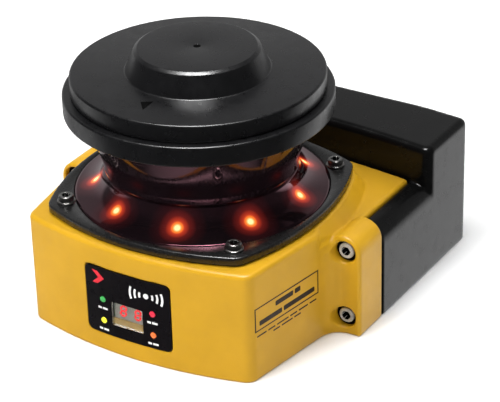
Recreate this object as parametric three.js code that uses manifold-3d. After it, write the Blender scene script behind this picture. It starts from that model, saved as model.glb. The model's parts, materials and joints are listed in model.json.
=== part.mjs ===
// Lidar scanner module: a safety laser scanner of the compact floor-level kind.
// Millimetres, +Z up. The front (display) faces -Y. The mirror's spin axis is x = y = 0, the base z = 0.

import * as THREE from 'three';
import { mergeVertices } from 'three/addons/utils/BufferGeometryUtils.js';
import Module from 'manifold-3d';

const wasm = await Module();
wasm.setup();

// ---------------------------------------------------------------- driving dimensions

const GAP = 0.3;                 // clearance between neighbouring pieces
const SKIN = 0.05;               // running clearance of a press-fitted or turning piece

// overall
const HALF_WIDTH = 66.5;
const FRONT_Y = -52.6;
const BACK_Y = 90.1;

// sensor housing
const FRONT_R = 165;             // the front wall is an arc of this radius
const FRONT_CORNER_X = 48.0;
const EAR_FRONT_Y = 1.0;
const EAR_BACK_Y = 18.5;
const WAIST_X = 55.3;            // where the tapered side wall reaches the ear
const SHELF_Z = 38.8;            // top of the tail
const PLINTH_Z = 44.4;           // top of the housing, under the flange
const EAR_R = 7.0;               // the ear is a boss with a half-round top
const EAR_AXIS_Z = 33.8;
const TAIL_X = 57.2;
const SHOULDER_END_Y = -6.5;     // the side walls bend inwards behind this point, above the shelf
const WALL = 3.0;

// window flange: a square whose sides bulge outwards
const FLANGE_HALF = 50.4;
const FLANGE_SIDE_R = 100;
const FLANGE_CORNER_R = 6.6;
const FLANGE_BOTTOM_Z = 45.2;
const FLANGE_TOP_Z = 48.2;
const POST = 36.4;               // flange and base screws sit at (+-POST, +-POST)
const POST_R = 5.0;
const PLINTH_LEDGE = 0.7;        // the plinth is this much wider than the flange at its top
const PLINTH_FLANK = 4.2;        // and its flank spreads this much more on its way down to the shelf

// window and head
const SKIRT_R = 47.6;
const WAIST_Z = 57.8;            // the window meets its skirt here
const RING_R = 50.0;
const RING_BOTTOM_Z = 80.8;
const RING_TOP_Z = 88.7;
const COVER_R = 47.0;
const COVER_TOP_Z = 95.6;
const HUB_BASE_R = 26.7;
const HUB_TOP_R = 22.8;
const HUB_TOP_Z = 104.5;
const WEB_Z = 83.3;              // underside of the web that carries the optics
const WEB_HOLE_R = 22.5;
const LID_WALL = 2.5;

// sector lights
const LED_RING_R = 39.8;
const LED_STEP_DEG = 39;
const LED_COUNT = 8;
const LED_BOARD_Z = 44.7;

// rotor and mirror
const MIRROR_Z = 67.0;           // scan plane height
const MIRROR_HALF_WIDTH = 15.0;
const MIRROR_HALF_LENGTH = 19.0;
const MIRROR_THICK = 3.0;
const SHAFT_R = 2.5;
const CARRIER_R = 14.5;
const ENCODER_Z = 44.4;
const ENCODER_R = 18.0;

// motor
const MOTOR_R = 19.5;
const BEARING_SEAT_R = 8.3;
const MAGNET_R = 10.2;           // the motor's magnets ride on the shaft
const MAGNET_Z0 = 18.5;
const MAGNET_Z1 = 30.5;
const MOTOR_BOTTOM_Z = 12.0;
const MOTOR_TOP_Z = 37.8;
const BRACKET_Z = 38.1;
const BRACKET_TOP_Z = 40.9;

// display
const PANEL_HALF = 18.3;
const PANEL_Z0 = 7.6;
const PANEL_Z1 = 35.2;
const PANEL_PROUD = 0.2;
const PANEL_DEEP = 1.3;
const STATUS_X = 10.8;
const STATUS_Z = [22.0, 13.1];
const SCREEN_HALF = 6.7;
const SCREEN_Z0 = 12.7;
const SCREEN_Z1 = 22.3;

// ear screws that couple the sensor block to the I/O block
const EAR_SCREW_X = 60.2;
const EAR_SCREW_Z = [34.6, 7.2];
const EAR_RECESS_R = 4.4;
const EAR_RECESS_DEPTH = 5.1;
const EAR_SCREW_SUNK = 1.0;      // the heads lie this far below the ear's face

// socket-head screws: M3 with a low head and a captive washer, and M4
const FLANGE_SCREW = { headR: 2.9, headH: 2.0, socketR: 1.45, shankR: 1.5, length: 12, washerR: 3.5 };
const EAR_SCREW = { headR: 3.5, headH: 3.8, socketR: 1.75, shankR: 1.6, length: 22, washerR: 0 };
const WASHER_THICK = 0.7;
const M3_HOLE_R = 1.7;
const M3_FREE_R = 1.8;           // where the screw passes through a clamped piece
const EAR_HOLE_R = 1.9;

// I/O block
const IO_TOP_Z = 52.8;
const IO_FRONT_CORNER_Y = 55.3;  // front face of the block at the sides
const IO_FRONT_CROWN = 5.8;      // and how much further back it lies in the middle
const IO_BACK_CORNER_Y = 88.0;
const IO_FLAT_HALF = 47.0;       // half width of the flat part of the back face
const IO_EDGE_R = 2.4;
const ARM_TOP_Z = 37.4;
const ARM_EDGE_R = 6.0;
const ARM_FRONT_Y = EAR_BACK_Y + GAP;
const BAY_HALF = 36;             // recess that shelters the two connectors
const BAY_Z0 = 5;
const BAY_Z1 = 31;
const BAY_WALL_Y = 76;
const CONNECTOR_X = 17;
const CONNECTOR_Z = 18;
const M5_X = 52;
const M5_Z = [10, 43];
const M5_HOLE_R = 2.1;
const M5_DEPTH = 8;

const DEG = Math.PI / 180;

// sides of a large, a middling and a small round
const LARGE = 44;
const MIDDLE = 24;
const SMALL = 12;

// ---------------------------------------------------------------- materials

const finish = (color, roughness, metalness = 0) =>
  new THREE.MeshStandardMaterial({ color, roughness, metalness });

const FINISH = {
  yellow: [0xe8b02c, 0.45],
  black: [0x1b1b1c, 0.45],
  flange: [0x3a3a3a, 0.55],
  window: [0x120c10, 0.08],
  seal: [0x101010, 0.85],
  steel: [0xa8a8a4, 0.3, 1],
  alloy: [0xb4b6b8, 0.4, 1],
  board: [0x1d5a36, 0.6],
  led: [0xff3a18, 0.25],
  panel: [0x161617, 0.35],
  screen: [0x9a958c, 0.15],
  digits: [0xd02028, 0.3],
  green: [0x3fa552, 0.3],
  amber: [0xe8dc30, 0.3],
  red: [0xd8304a, 0.3],
  orange: [0xe08030, 0.3],
  glass: [0xcfe4e8, 0.05],
  mirror: [0xe8eaec, 0.03, 1],
  copper: [0xb06a3a, 0.45, 1],
};

// ---------------------------------------------------------------- solids

// A closed three.js geometry as a solid: shared vertices merged, slivers on a lathe's axis dropped.
function solid(geometry) {
  const bare = geometry.clone();
  bare.deleteAttribute('normal');
  bare.deleteAttribute('uv');
  const merged = mergeVertices(bare, 1e-4);
  const index = merged.getIndex().array;
  const tris = [];
  for (let i = 0; i < index.length; i += 3) {
    const [a, b, c] = [index[i], index[i + 1], index[i + 2]];
    if (a !== b && b !== c && c !== a) tris.push(a, b, c);
  }
  return new wasm.Manifold(new wasm.Mesh({
    numProp: 3,
    vertProperties: new Float32Array(merged.getAttribute('position').array),
    triVerts: new Uint32Array(tris),
  }));
}

const join = (first, ...others) => others.reduce((a, b) => a.add(b), first);
const cut = (first, ...others) => others.reduce((a, b) => a.subtract(b), first);

function toGeometry(body) {
  const { vertProperties, triVerts, numProp } = body.getMesh();
  const geometry = new THREE.BufferGeometry();
  const position = new Float32Array((vertProperties.length / numProp) * 3);
  for (let i = 0; i < position.length / 3; i += 1) {
    position.set(vertProperties.slice(i * numProp, i * numProp + 3), i * 3);
  }
  geometry.setAttribute('position', new THREE.BufferAttribute(position, 3));
  geometry.setIndex(new THREE.BufferAttribute(new Uint32Array(triVerts), 1));
  geometry.computeVertexNormals();
  return geometry;
}

// Turns a geometry drawn in XY and extruded along Z so that its outline stands in XZ.
const ALONG_Y = new THREE.Matrix4().makeRotationX(Math.PI / 2);

// A closed outline through corners [x, y, radius], each rounded to its radius.
function outline(corners, step = 22.5) {
  const points = [];
  const count = corners.length;
  corners.forEach(([x, y, radius = 0], i) => {
    const corner = new THREE.Vector2(x, y);
    if (radius === 0) {
      points.push(corner);
      return;
    }
    const [px, py] = corners[(i + count - 1) % count];
    const [nx, ny] = corners[(i + 1) % count];
    const back = new THREE.Vector2(px - x, py - y).normalize();
    const ahead = new THREE.Vector2(nx - x, ny - y).normalize();
    const half = Math.acos(THREE.MathUtils.clamp(back.dot(ahead), -1, 1)) / 2;
    const inward = back.clone().add(ahead).normalize();
    const centre = corner.clone().addScaledVector(inward, radius / Math.sin(half));
    const start = corner.clone().addScaledVector(back, radius / Math.tan(half)).sub(centre);
    const turn = Math.sign(back.cross(ahead)) * -(Math.PI - 2 * half);
    const steps = Math.max(1, Math.ceil(Math.abs(turn) / (step * DEG)));
    for (let k = 0; k <= steps; k += 1) {
      points.push(start.clone().rotateAround(new THREE.Vector2(), (turn * k) / steps).add(centre));
    }
  });
  return new THREE.Shape(points);
}

// A closed outline from its right-hand half, listed from the front middle round to the back middle.
function symmetricOutline(right) {
  const left = right.filter(([x]) => x !== 0).reverse();
  return outline([...right, ...left.map(([x, y, r]) => [-x, y, r])]);
}

const rectangle = (x0, y0, x1, y1, r = 0) =>
  outline([[x0, y0, r], [x1, y0, r], [x1, y1, r], [x0, y1, r]]);

// An outline in XY raised from z0 to z1.
function raised(shape, z0, z1) {
  const geometry = new THREE.ExtrudeGeometry(shape, { depth: z1 - z0, bevelEnabled: false });
  return solid(geometry.translate(0, 0, z0));
}

// The same with its top edge rounded.
function raisedSoft(shape, z0, z1, r, segments = 1) {
  const geometry = new THREE.ExtrudeGeometry(shape, {
    depth: z1 - z0 - 2 * r,
    bevelThickness: r,
    bevelSize: r,
    bevelOffset: -r,
    bevelSegments: segments,
  });
  return join(solid(geometry.translate(0, 0, z0 + r)), raised(shape, z0, z1 - r));
}

// An outline in XZ drawn out from y0 to y1.
function acrossY(shape, y0, y1) {
  const settings = { depth: y1 - y0, bevelEnabled: false, curveSegments: 7 };
  const geometry = new THREE.ExtrudeGeometry(shape, settings);
  return solid(geometry.applyMatrix4(ALONG_Y).translate(0, y1, 0));
}

// The same with its front edge softened.
function acrossYSoft(shape, y0, y1, r) {
  const geometry = new THREE.ExtrudeGeometry(shape, {
    depth: y1 - y0 - 2 * r,
    bevelThickness: r,
    bevelSize: r,
    bevelOffset: -r,
    bevelSegments: 2,
    curveSegments: 7,
  });
  const soft = solid(geometry.applyMatrix4(ALONG_Y).translate(0, y1 - r, 0));
  return join(soft, acrossY(shape, y0 + r, y1));
}

const block = (x0, y0, z0, x1, y1, z1) => raised(rectangle(x0, y0, x1, y1), z0, z1);

// A profile of [radius, z] turned about the vertical axis, outer wall upwards.
function turned(profile, segments = MIDDLE) {
  const points = profile.map(([r, z]) => new THREE.Vector2(r, z));
  return solid(new THREE.LatheGeometry(points, segments).applyMatrix4(ALONG_Y));
}

const rod = (r, z0, z1, segments = SMALL) => turned([[0, z0], [r, z0], [r, z1], [0, z1]], segments);

const tube = (inner, outer, z0, z1, segments = MIDDLE) =>
  turned([[inner, z0], [outer, z0], [outer, z1], [inner, z1], [inner, z0]], segments);

// A vertical turned piece laid down so that its +Z end points to -Y, with its origin at (x, y, z).
const facingFront = (body, x, y, z) => body.rotate([90, 0, 0]).translate([x, y, z]);
const facingBack = (body, x, y, z) => body.rotate([-90, 0, 0]).translate([x, y, z]);

// ---------------------------------------------------------------- shared outlines

const frontY = (x, inset = 0) => {
  const r = FRONT_R - inset;
  return FRONT_Y + FRONT_R - Math.sqrt(r * r - x * x);
};

// The front arc from its middle to its right-hand corner.
function frontArc(inset = 0, end = 40, step = 10) {
  const points = [];
  for (let x = 0; x <= end; x += step) points.push([x, frontY(x, inset), 0]);
  return points;
}

const ioFrontY = (x) => IO_FRONT_CORNER_Y + IO_FRONT_CROWN * (1 - (x / HALF_WIDTH) ** 2);

// The I/O block's crowned front edge from the middle to x = end, moved back by an offset.
function crownedEdge(end, offset = 0, steps = 5) {
  const points = [];
  for (let i = 0; i <= steps; i += 1) {
    const x = (end * i) / steps;
    points.push([x, ioFrontY(x) + offset, 0]);
  }
  return points;
}

// Square with bulging sides: four arcs joined by corner arcs.
function bulgedSquare(offset = 0, steps = 6) {
  const half = FLANGE_HALF + offset;
  const side = FLANGE_SIDE_R + offset;
  const r = FLANGE_CORNER_R + offset;
  const back = half - side;
  const k = (back + Math.sqrt(2 * (side - r) ** 2 - back * back)) / 2;
  const meet = Math.atan2(k, k - back);
  const points = [];
  for (let quarter = 0; quarter < 4; quarter += 1) {
    const spin = quarter * 90 * DEG;
    for (let i = 0; i <= steps; i += 1) {
      const a = -meet + (2 * meet * i) / steps;
      const p = new THREE.Vector2(back + side * Math.cos(a), side * Math.sin(a));
      points.push(p.rotateAround(new THREE.Vector2(), spin));
    }
    for (let i = 1; i < 4; i += 1) {
      const a = meet + ((90 * DEG - 2 * meet) * i) / 4;
      const p = new THREE.Vector2(k + r * Math.cos(a), k + r * Math.sin(a));
      points.push(p.rotateAround(new THREE.Vector2(), spin));
    }
  }
  return new THREE.Shape(points);
}

const fourPosts = (make) =>
  [[-1, -1], [1, -1], [1, 1], [-1, 1]].map(([sx, sy]) => make().translate([sx * POST, sy * POST, 0]));

const earScrewPlaces = [-1, 1].flatMap((side) => EAR_SCREW_Z.map((z) => [side * EAR_SCREW_X, z]));

// ---------------------------------------------------------------- sensor block

const housingPlan = () => symmetricOutline([
  ...frontArc(),
  [FRONT_CORNER_X, frontY(FRONT_CORNER_X), 5],
  [WAIST_X, EAR_FRONT_Y, 0],
  [TAIL_X, EAR_FRONT_Y + 8, 0],
  ...crownedEdge(TAIL_X, -1.4).reverse(),
]);

// Boss at one side that the coupling screws pass through, with a half-round top,
// and the fillet that joins its front to the tapered side wall.
function ear(side) {
  const face = new THREE.Shape();
  face.moveTo(-EAR_R, -5);
  face.lineTo(EAR_R, -5);
  face.absarc(0, EAR_AXIS_Z, EAR_R, 0, Math.PI, false);
  const boss = acrossYSoft(face, EAR_FRONT_Y, EAR_BACK_Y, 1.5).translate([side * (HALF_WIDTH - EAR_R), 0, 0]);
  const fillet = outline([
    [54.0, SHOULDER_END_Y, 0], [55.6, -2.6, 0], [57.4, -0.2, 0], [60, EAR_FRONT_Y, 0], [52, 6, 0],
  ]);
  const toe = raised(fillet, 0, SHELF_Z - 1.5);
  return cut(join(boss, side > 0 ? toe : toe.mirror([1, 0, 0])), block(-70, -20, -10, 70, 30, 0));
}

// Hollow of the housing, shrunk by a margin for the cover that closes it.
const cavityPlan = (margin = 0) => symmetricOutline([
  ...frontArc(WALL + margin),
  [FRONT_CORNER_X - WALL - margin, frontY(FRONT_CORNER_X - WALL, WALL + margin), 3],
  [WAIST_X - WALL - 1 - margin, EAR_FRONT_Y, 0],
  [TAIL_X - WALL - margin, EAR_BACK_Y, 0],
  [TAIL_X - WALL - margin, IO_FRONT_CORNER_Y - 6 - margin, 3],
]);

// The raised front part beside the flange, which dies away at the ears.
const shoulderPlan = () => symmetricOutline([
  ...frontArc(),
  [FRONT_CORNER_X, frontY(FRONT_CORNER_X), 5],
  [54.12, SHOULDER_END_Y, 6],
  [49, 3, 0],
]);

// The plinth under the flange: its flank slopes down and outwards to the shelf.
function plinth() {
  const rise = PLINTH_Z - SHELF_Z;
  const bottom = PLINTH_Z - 2.5 * rise;
  const geometry = new THREE.ExtrudeGeometry(bulgedSquare(PLINTH_LEDGE + PLINTH_FLANK), {
    depth: PLINTH_Z - bottom - 2 * rise,
    bevelThickness: rise,
    bevelSize: PLINTH_FLANK,
    bevelOffset: -PLINTH_FLANK,
    bevelSegments: 1,
  });
  return solid(geometry.translate(0, 0, bottom + rise)).intersect(raised(housingPlan(), bottom, PLINTH_Z));
}

function panelSlab(deep, proud, grow) {
  const half = PANEL_HALF + grow;
  const front = [];
  for (let i = -3; i <= 3; i += 1) front.push([(half * i) / 3, frontY((half * i) / 3) - proud, 0]);
  const shape = outline([...front, [half, frontY(half) + deep, 0], [-half, frontY(half) + deep, 0]]);
  const face = rectangle(-half, PANEL_Z0 - grow, half, PANEL_Z1 + grow, 2.2);
  return raised(shape, PANEL_Z0 - grow, PANEL_Z1 + grow).intersect(acrossY(face, FRONT_Y - 5, FRONT_Y + 10));
}

function sensorHousing() {
  const lower = raisedSoft(housingPlan(), 0, SHELF_Z, 1);
  const upper = raisedSoft(shoulderPlan(), 30, PLINTH_Z, 1.5);
  const shell = cut(
    join(lower, upper, plinth(), ear(-1), ear(1)),
    raised(cavityPlan(), -1, SHELF_Z - WALL),
    rod(44.5, 30, PLINTH_Z - WALL, LARGE),
    rod(33, 35, PLINTH_Z + 1, LARGE),
    acrossY(rectangle(-20, 12, 20, 30, 2), 45, 62),
    acrossY(rectangle(-15.5, 9.5, 15.5, 33, 1), FRONT_Y - 2, FRONT_Y + 6),
    panelSlab(PANEL_DEEP + GAP, 3, 0.2),
  );
  const posts = fourPosts(() => rod(POST_R, 2.7, PLINTH_Z - WALL + 0.2));
  const flangeHoles = fourPosts(() => rod(M3_HOLE_R, 33, PLINTH_Z + 1));
  const baseHoles = fourPosts(() => rod(M3_HOLE_R, 2, 12));
  const recesses = earScrewPlaces.map(([x, z]) =>
    facingBack(rod(EAR_RECESS_R, -1, EAR_RECESS_DEPTH, 16), x, EAR_FRONT_Y, z));
  const earHoles = earScrewPlaces.map(([x, z]) => facingBack(rod(EAR_HOLE_R, 0, 25), x, EAR_FRONT_Y, z));
  return cut(join(shell, ...posts), ...flangeHoles, ...baseHoles, ...recesses, ...earHoles);
}

// The plate that closes the housing from below, lying flush with its rim.
const baseCover = () => cut(
  raised(cavityPlan(GAP), 0, 2.4),
  ...fourPosts(() => turned([[0, -1], [3.4, -1], [3.4, 0.4], [1.8, 1.9], [1.8, 3], [0, 3]], SMALL)),
);

// Countersunk screw, head downwards.
const baseScrew = () => cut(
  turned([[0, 0.1], [3.0, 0.1], [3.0, 0.3], [1.5, 1.8], [1.5, 10], [0, 10.6]], SMALL),
  rod(1.2, -1, 1.4, 6),
);

// Socket-head screw, with a captive washer if it has a washer radius. The head's top is at z = 0.
function socketScrew({ headR, headH, socketR, shankR, length, washerR }) {
  const washer = washerR > 0 ? [[washerR, -headH - WASHER_THICK], [washerR, -headH]] : [];
  const neck = washerR > 0 ? -headH - WASHER_THICK : -headH;
  const body = turned([
    [0, -headH - length], [shankR, -headH - length + 0.4], [shankR, neck],
    ...washer, [headR, -headH], [headR, -0.3], [headR - 0.3, 0], [0, 0],
  ], SMALL);
  return cut(body, rod(socketR, -headH * 0.55, 1, 6));
}

function flange() {
  const plate = raisedSoft(bulgedSquare(), FLANGE_BOTTOM_Z, FLANGE_TOP_Z, 0.5, 1);
  return cut(
    plate,
    rod(SKIRT_R + GAP, FLANGE_BOTTOM_Z - 1, FLANGE_TOP_Z + 1, LARGE),
    ...fourPosts(() => rod(M3_FREE_R, FLANGE_BOTTOM_Z - 1, FLANGE_TOP_Z + 1, 8)),
  );
}

const flangeGasket = () => cut(
  raised(bulgedSquare(-0.7), PLINTH_Z + 0.1, FLANGE_BOTTOM_Z - 0.1),
  rod(SKIRT_R - 1.4, PLINTH_Z - 1, FLANGE_BOTTOM_Z + 1, LARGE),
  ...fourPosts(() => rod(M3_FREE_R, PLINTH_Z - 1, FLANGE_BOTTOM_Z + 1, 8)),
);

// Scan window: an inverted cone that narrows towards the waist.
const scanWindow = () => turned([
  [36.3, WAIST_Z + 0.1], [36.6, 61.5], [43.0, 80.2], [43.0, WEB_Z - GAP], [41.0, WEB_Z - GAP], [41.0, 80.2],
  [34.6, 61.5], [34.3, WAIST_Z + 0.1], [36.3, WAIST_Z + 0.1],
], LARGE);

// Skirt under the window: flares out over the sector lights to the flange.
const indicatorSkirt = () => turned([
  [SKIRT_R, FLANGE_BOTTOM_Z + 0.1], [SKIRT_R, 48.3], [43.6, 49.3], [39.6, 51.4], [37.0, 54.2],
  [36.3, WAIST_Z - 0.1], [34.3, WAIST_Z - 0.1], [35.2, 53.2], [38.0, 50.0], [42.4, 47.6], [45.4, 46.9],
  [45.4, FLANGE_BOTTOM_Z + 0.1], [SKIRT_R, FLANGE_BOTTOM_Z + 0.1],
], LARGE);

// ---------------------------------------------------------------- head

// Brim: the lower ring of the head, with the web that carries the optics.
const headRing = () => turned([
  [WEB_HOLE_R, WEB_Z], [44.0, WEB_Z], [44.0, RING_BOTTOM_Z],
  [RING_R - 1, RING_BOTTOM_Z], [RING_R, RING_BOTTOM_Z + 1],
  [RING_R, RING_TOP_Z - 1], [RING_R - 1, RING_TOP_Z],
  [COVER_R - 3.2, RING_TOP_Z], [COVER_R - 3.2, WEB_Z + LID_WALL], [WEB_HOLE_R, WEB_Z + LID_WALL],
  [WEB_HOLE_R, WEB_Z],
], LARGE);

// Lid of the head, one thin shell: its outside from the rim to the hub, then its inside back to the rim.
const topCover = () => turned([
  [COVER_R - 0.4, RING_TOP_Z + GAP], [COVER_R, RING_TOP_Z + 0.7], [COVER_R, COVER_TOP_Z - 1],
  [COVER_R - 0.9, COVER_TOP_Z], [HUB_BASE_R + 0.8, COVER_TOP_Z], [HUB_BASE_R, COVER_TOP_Z + 0.6],
  [HUB_TOP_R + 1.0, HUB_TOP_Z - 1.6], [HUB_TOP_R, HUB_TOP_Z - 0.3], [HUB_TOP_R - 0.6, HUB_TOP_Z],
  [0, HUB_TOP_Z], [0, HUB_TOP_Z - LID_WALL],
  [HUB_TOP_R - 2, HUB_TOP_Z - LID_WALL], [HUB_BASE_R - LID_WALL, COVER_TOP_Z - LID_WALL],
  [COVER_R - 2.6, COVER_TOP_Z - LID_WALL], [COVER_R - 2.6, RING_TOP_Z + GAP],
  [COVER_R - 0.4, RING_TOP_Z + GAP],
], LARGE);

const lensBarrel = () => turned([
  [19.4, 82.0], [22.0, 82.0], [22.0, 86.3], [24.2, 86.3], [24.2, 88.0], [22.0, 88.0], [22.0, 95.6],
  [17.0, 95.6], [17.0, 93.0], [19.4, 93.0], [19.4, 82.0],
]);

// Receiver lens, bored for the transmitter tube.
const receiverLens = () => turned([
  [5.4, 84.0], [12.5, 84.6], [19.1, 86.2], [19.1, 88.6], [12.5, 90.6], [5.4, 91.4], [5.4, 84.0],
]);

const laserModule = () => join(rod(5.0, 82.6, 93.0), rod(6.4, 92.4, 95.2));

const detectorBoard = () => join(
  rod(20.5, 96.0, 97.4, MIDDLE),
  block(-5, 8, 97, 5, 15, 99.4),
  block(-12, -14, 97, -5, -8, 98.8),
);

const headPost = () => join(block(-8, 24.4, 41.2, 8, 28.6, 83.0), block(-12, 24.4, 41.2, 12, 29.4, 44.0));

// ---------------------------------------------------------------- sector lights

const ledRingBoard = () => tube(34.0, 45.0, LED_BOARD_Z, LED_BOARD_Z + 1.0, LARGE);

const sectorLed = (angle) => {
  const body = join(
    block(-2.2, -2.2, LED_BOARD_Z + 1.2, 2.2, 2.2, LED_BOARD_Z + 2.2),
    turned([
      [0, LED_BOARD_Z + 2], [1.6, LED_BOARD_Z + 2], [1.6, LED_BOARD_Z + 2.8],
      [1.0, LED_BOARD_Z + 3.4], [0, LED_BOARD_Z + 3.6],
    ], 10),
  );
  return body.translate([0, -LED_RING_R, 0]).rotate([0, 0, angle]);
};

// ---------------------------------------------------------------- display

const statusPlaces = STATUS_Z.flatMap((z) => [[-STATUS_X, z], [STATUS_X, z]]);

function displayPanel() {
  const screen = rectangle(-SCREEN_HALF - GAP, SCREEN_Z0 - GAP, SCREEN_HALF + GAP, SCREEN_Z1 + GAP, 0.6);
  const holes = statusPlaces.map(([x, z]) => facingFront(rod(1.5, -6, 6), x, FRONT_Y, z));
  return cut(panelSlab(PANEL_DEEP, PANEL_PROUD, 0), acrossY(screen, FRONT_Y - 5, FRONT_Y + 5), ...holes);
}

const displayWindow = () => acrossY(
  rectangle(-SCREEN_HALF, SCREEN_Z0, SCREEN_HALF, SCREEN_Z1, 0.5), FRONT_Y - 0.15, FRONT_Y + 1.0);

const digitDisplay = () => block(-6.2, FRONT_Y + 1.6, 13.2, 6.2, FRONT_Y + 5.8, 21.8);

const statusLed = (x, z) => facingFront(
  turned([[0, -5.5], [1.2, -5.5], [1.2, 0.1], [0.8, 0.35], [0, 0.45]], SMALL), x, FRONT_Y + 0.3, z);

const displayBoard = () => join(
  block(-16, FRONT_Y + 6.1, 8.5, 16, FRONT_Y + 7.7, 32),
  block(-9, FRONT_Y + 7.5, 24, 9, FRONT_Y + 11, 29),
  block(-5, FRONT_Y + 7.5, 13, 5, FRONT_Y + 9, 21),
);

// ---------------------------------------------------------------- motor and rotor

const motorBracket = () => cut(
  rod(43.8, BRACKET_Z, BRACKET_TOP_Z, LARGE),
  rod(8.6, BRACKET_Z - 1, BRACKET_TOP_Z + 1, MIDDLE),
  ...fourPosts(() => rod(POST_R + 2.2, BRACKET_Z - 1, BRACKET_TOP_Z + 1)),
);

const motorHousing = () => turned([
  [BEARING_SEAT_R, MOTOR_BOTTOM_Z], [MOTOR_R - 1, MOTOR_BOTTOM_Z],
  [MOTOR_R, MOTOR_BOTTOM_Z + 1], [MOTOR_R, MOTOR_TOP_Z], [BEARING_SEAT_R, MOTOR_TOP_Z],
  [BEARING_SEAT_R, MOTOR_TOP_Z - 2.2], [MOTOR_R - 2, MOTOR_TOP_Z - 2.2], [MOTOR_R - 2, MOTOR_BOTTOM_Z + 2],
  [BEARING_SEAT_R, MOTOR_BOTTOM_Z + 2], [BEARING_SEAT_R, MOTOR_BOTTOM_Z],
]);

const motorStator = () => tube(10.8, MOTOR_R - 2 - GAP, 18, 31);

const bearing = (z) => turned([
  [SHAFT_R + 2 * SKIN, z], [8.2, z], [8.2, z + 4], [SHAFT_R + 2 * SKIN, z + 4], [SHAFT_R + 2 * SKIN, z],
]);

const rotorShaft = () => turned([
  [0, 13], [SHAFT_R, 13], [SHAFT_R, MAGNET_Z0], [MAGNET_R, MAGNET_Z0],
  [MAGNET_R, MAGNET_Z1], [SHAFT_R, MAGNET_Z1], [SHAFT_R, 54], [0, 54],
]);

const encoderDisk = () => tube(SHAFT_R + SKIN, ENCODER_R, ENCODER_Z, ENCODER_Z + 0.8);

// Slotted light gate that straddles the encoder disk's rim.
const encoderSensor = () => cut(
  block(14.5, -4, BRACKET_TOP_Z + GAP, 22, 4, 48.6),
  block(13, -5, ENCODER_Z - 1.2, 19.6, 5, ENCODER_Z + 2),
);

// A half-space block whose face passes through (0, 0, MIRROR_Z) shifted along the mirror's normal.
function mirrorCutter(shift) {
  const cutter = block(-40, -40, 0, 40, 40, 60).rotate([45, 0, 0]);
  const step = shift * Math.SQRT1_2;
  return cutter.translate([0, -step, MIRROR_Z + step]);
}

function mirrorCarrier() {
  const body = join(rod(9, ENCODER_Z + 1.1, 52, MIDDLE), rod(CARRIER_R, 51, MIRROR_Z + 12, MIDDLE));
  return cut(body, rod(SHAFT_R + SKIN, 40, 54.3, MIDDLE), mirrorCutter(-MIRROR_THICK - GAP));
}

// Elliptical first-surface mirror, its face at 45 degrees looking to the front and up.
function scanMirror() {
  const disc = rod(1, -MIRROR_THICK, 0, MIDDLE).scale([MIRROR_HALF_WIDTH, MIRROR_HALF_LENGTH, 1]);
  return disc.rotate([45, 0, 0]).translate([0, 0, MIRROR_Z]);
}

// ---------------------------------------------------------------- electronics

const mainBoard = () => join(
  block(-30, -38, 5.2, 30, 44, 6.8),
  block(-14, 24, 6.6, 14, 40, 9.4),
  block(-24, -32, 6.6, -10, -22, 8.6),
  block(8, -34, 6.6, 26, -24, 10.6),
  ...[-26, -22, 20, 24].map((x) => block(x, 6, 6.6, x + 2.4, 12, 11)),
);

const linkConnector = () => block(-17, 53.5, 14.5, 17, 66, 27.5);

const ioBoard = () => join(
  block(-44, 68.0, 7.0, 44, 69.6, 45),
  block(-17, 66.3, 14.5, 17, 68.2, 27.5),
  block(-36, 65.3, 33, -20, 68.2, 42),
  block(24, 65.3, 30, 38, 68.2, 40),
);

// ---------------------------------------------------------------- I/O block

const ioPlan = () => symmetricOutline([
  ...crownedEdge(HALF_WIDTH - 6.5),
  [HALF_WIDTH, ioFrontY(HALF_WIDTH), 3],
  [HALF_WIDTH, IO_BACK_CORNER_Y, 3],
  [IO_FLAT_HALF, BACK_Y, 40],
]);

function ioHousing() {
  const rear = raisedSoft(ioPlan(), 0, IO_TOP_Z, IO_EDGE_R, 2);
  const arms = [-1, 1].map((side) => {
    const inner = side * (TAIL_X + GAP);
    const section = outline(side > 0
      ? [[inner, 0, 0], [HALF_WIDTH, 0, 0], [HALF_WIDTH, ARM_TOP_Z, ARM_EDGE_R], [inner, ARM_TOP_Z, 1]]
      : [[-HALF_WIDTH, 0, 0], [inner, 0, 0], [inner, ARM_TOP_Z, 1], [-HALF_WIDTH, ARM_TOP_Z, ARM_EDGE_R]]);
    return acrossY(section, ARM_FRONT_Y, IO_FRONT_CORNER_Y + 8);
  });
  const m5 = [-1, 1].flatMap((side) => M5_Z.map((z) =>
    facingBack(rod(M5_HOLE_R, 0, M5_DEPTH + 1), side * M5_X, BACK_Y - M5_DEPTH, z)));
  const threads = earScrewPlaces.map(([x, z]) => facingBack(rod(1.75, 0, 14), x, ARM_FRONT_Y - 1, z));
  return cut(
    join(rear, ...arms),
    block(-48, 50, 4, 48, 66, 34),
    block(-60, 65, 4, 60, 73, 49),
    block(-40, 72, 35, 40, 80, 49),
    acrossY(rectangle(-BAY_HALF, BAY_Z0, BAY_HALF, BAY_Z1, 3), BAY_WALL_Y, BACK_Y + 5),
    ...[-1, 1].map((side) => facingBack(rod(6.6, 0, 8, MIDDLE), side * CONNECTOR_X, 70, CONNECTOR_Z)),
    ...m5,
    ...threads,
  );
}

// Seal between the sensor housing's rear wall and the I/O block.
const ioGasket = () => cut(
  raised(symmetricOutline([...crownedEdge(50, -1.1), ...crownedEdge(50, -0.3).reverse()]), 3, 36),
  block(-47, 40, 6, 47, 70, 33),
);

// Round panel connector: hexagonal nut, threaded barrel and a hollow face with a key.
function panelConnector(barrelR, socketR) {
  const body = join(rod(6.2, -4.5, 1), rod(9.2, 0.3, 3.3, 6), rod(barrelR, 3, 11.5, 16));
  return cut(body, tube(socketR * 0.55, socketR, 5, 13, SMALL));
}

const connectorCap = () => cut(
  join(rod(8.2, 4.2, 13.0, 16), rod(7.0, 12.5, 13.6, 16)), rod(6.4, 3, 11.9, 16));

// ---------------------------------------------------------------- assembly

const module3d = new THREE.Group();

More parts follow.
